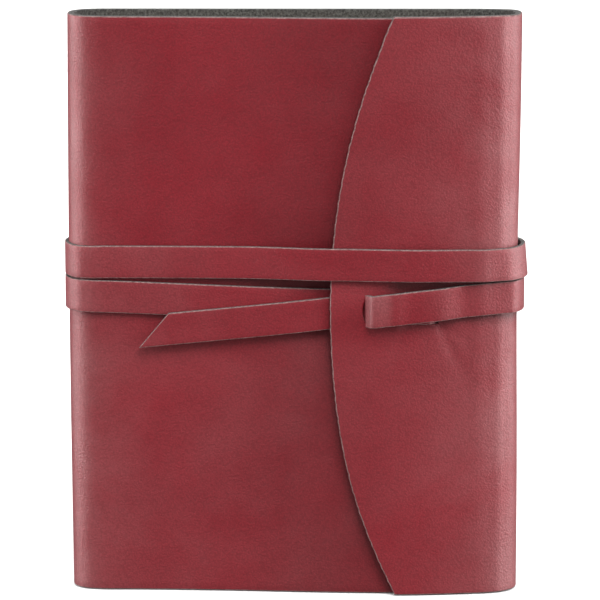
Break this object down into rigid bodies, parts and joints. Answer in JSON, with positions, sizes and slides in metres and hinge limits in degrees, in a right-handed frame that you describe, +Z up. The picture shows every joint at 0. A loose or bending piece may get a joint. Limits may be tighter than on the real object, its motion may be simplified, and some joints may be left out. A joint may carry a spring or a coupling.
{
  "type": "pocket notebook",
  "caption": "Pocket notebook in a leather wrap: cover and flap hinge open, pages turn, and a flat strap wound round it ties it shut.",
  "frame": {"origin": "middle of the back cover's lower edge, which the closed book stands on", "axes": "+X from spine to fore edge, +Z up the book, front cover and flap face -Y"},
  "size_m": [0.1218, 0.0245, 0.1557],
  "materials": {
    "back_cover": "smooth dyed leather, lightly waxed",
    "spine": "smooth dyed leather, lightly waxed",
    "front_cover": "smooth dyed leather, lightly waxed",
    "fore_edge_fold": "smooth dyed leather, lightly waxed",
    "flap": "smooth dyed leather, lightly waxed",
    "front_flyleaf": "matt uncoated paper",
    "back_flyleaf": "matt uncoated paper",
    "signature_1": "matt uncoated paper",
    "signature_2": "matt uncoated paper",
    "signature_3": "matt uncoated paper",
    "signature_4": "matt uncoated paper",
    "signature_5": "matt uncoated paper",
    "signature_6": "matt uncoated paper",
    "spine_liner": "woven cotton tape or mull",
    "sewing_tape_1": "woven cotton tape or mull",
    "sewing_tape_2": "woven cotton tape or mull",
    "sewing_tape_3": "woven cotton tape or mull",
    "kettle_stitch_tail": "waxed linen thread",
    "kettle_stitch_head": "waxed linen thread",
    "strap_lower_back": "smooth dyed leather with paler cut edges",
    "strap_upper_back": "smooth dyed leather with paler cut edges",
    "strap_upper_front": "smooth dyed leather with paler cut edges",
    "strap_lower_front": "smooth dyed leather with paler cut edges",
    "strap_upper_fold": "smooth dyed leather with paler cut edges",
    "strap_tail_fold": "smooth dyed leather with paler cut edges",
    "strap_upper_flap": "smooth dyed leather with paler cut edges",
    "strap_tail": "smooth dyed leather with paler cut edges",
    "strap_anchor": "smooth dyed leather with paler cut edges",
    "strap_free_end": "smooth dyed leather with paler cut edges"
  },
  "bodies": {
    "book": {"back_cover": "back_cover", "spine": "spine", "back_flyleaf": "back_flyleaf", "signature_2": "signature_2", "signature_3": "signature_3", "signature_4": "signature_4", "signature_5": "signature_5", "signature_6": "signature_6", "spine_liner": "spine_liner", "sewing_tape_1": "sewing_tape_1", "sewing_tape_2": "sewing_tape_2", "sewing_tape_3": "sewing_tape_3", "kettle_stitch_tail": "kettle_stitch_tail", "kettle_stitch_head": "kettle_stitch_head", "strap_lower_back": "strap_lower_back", "strap_upper_back": "strap_upper_back"},
    "fold": {"fore_edge_fold": "fore_edge_fold", "strap_upper_fold": "strap_upper_fold", "strap_tail_fold": "strap_tail_fold"},
    "wrap_flap": {"flap": "flap", "strap_upper_flap": "strap_upper_flap", "strap_tail": "strap_tail", "strap_anchor": "strap_anchor"},
    "cover": {"front_cover": "front_cover", "strap_upper_front": "strap_upper_front", "strap_lower_front": "strap_lower_front"},
    "turned_pages": {"front_flyleaf": "front_flyleaf", "signature_1": "signature_1"},
    "strap_end": {"strap_free_end": "strap_free_end"}
  },
  "joints": [
    {"name": "fore_edge_hinge", "type": "hinge", "parent": "book", "child": "fold", "pos_m": [0.0576, -0.00084, 0.0775], "axis": [0, 0, 1], "range_deg": [0, 90], "deforming": ["fore_edge_fold", "strap_upper_fold", "strap_tail_fold", "strap_lower_back", "strap_upper_back"]},
    {"name": "flap_hinge", "type": "hinge", "parent": "fold", "child": "wrap_flap", "pos_m": [0.0576, -0.01389, 0.0775], "axis": [0, 0, 1], "range_deg": [0, 90], "deforming": ["flap", "strap_upper_flap", "strap_tail", "strap_anchor"]},
    {"name": "cover_hinge", "type": "hinge", "parent": "book", "child": "cover", "pos_m": [-0.0576, -0.01135, 0.0775], "axis": [0, 0, -1], "range_deg": [0, 175], "deforming": ["strap_upper_front", "strap_lower_front"]},
    {"name": "page_hinge", "type": "hinge", "parent": "book", "child": "turned_pages", "pos_m": [-0.0558, -0.01195, 0.0775], "axis": [0, 0, -1], "range_deg": [0, 163]},
    {"name": "strap_end_hinge", "type": "hinge", "parent": "wrap_flap", "child": "strap_end", "pos_m": [0.0086, -0.01729, 0.0775], "axis": [0, 0, 1], "range_deg": [0, 70], "deforming": ["strap_free_end"]}
  ],
  "couplings": [
    {"joint": "flap_hinge", "follows": "fore_edge_hinge", "ratio": 1},
    {"joint": "cover_hinge", "follows": "fore_edge_hinge", "ratio": 1.94},
    {"joint": "page_hinge", "follows": "fore_edge_hinge", "ratio": 1.8}
  ]
}
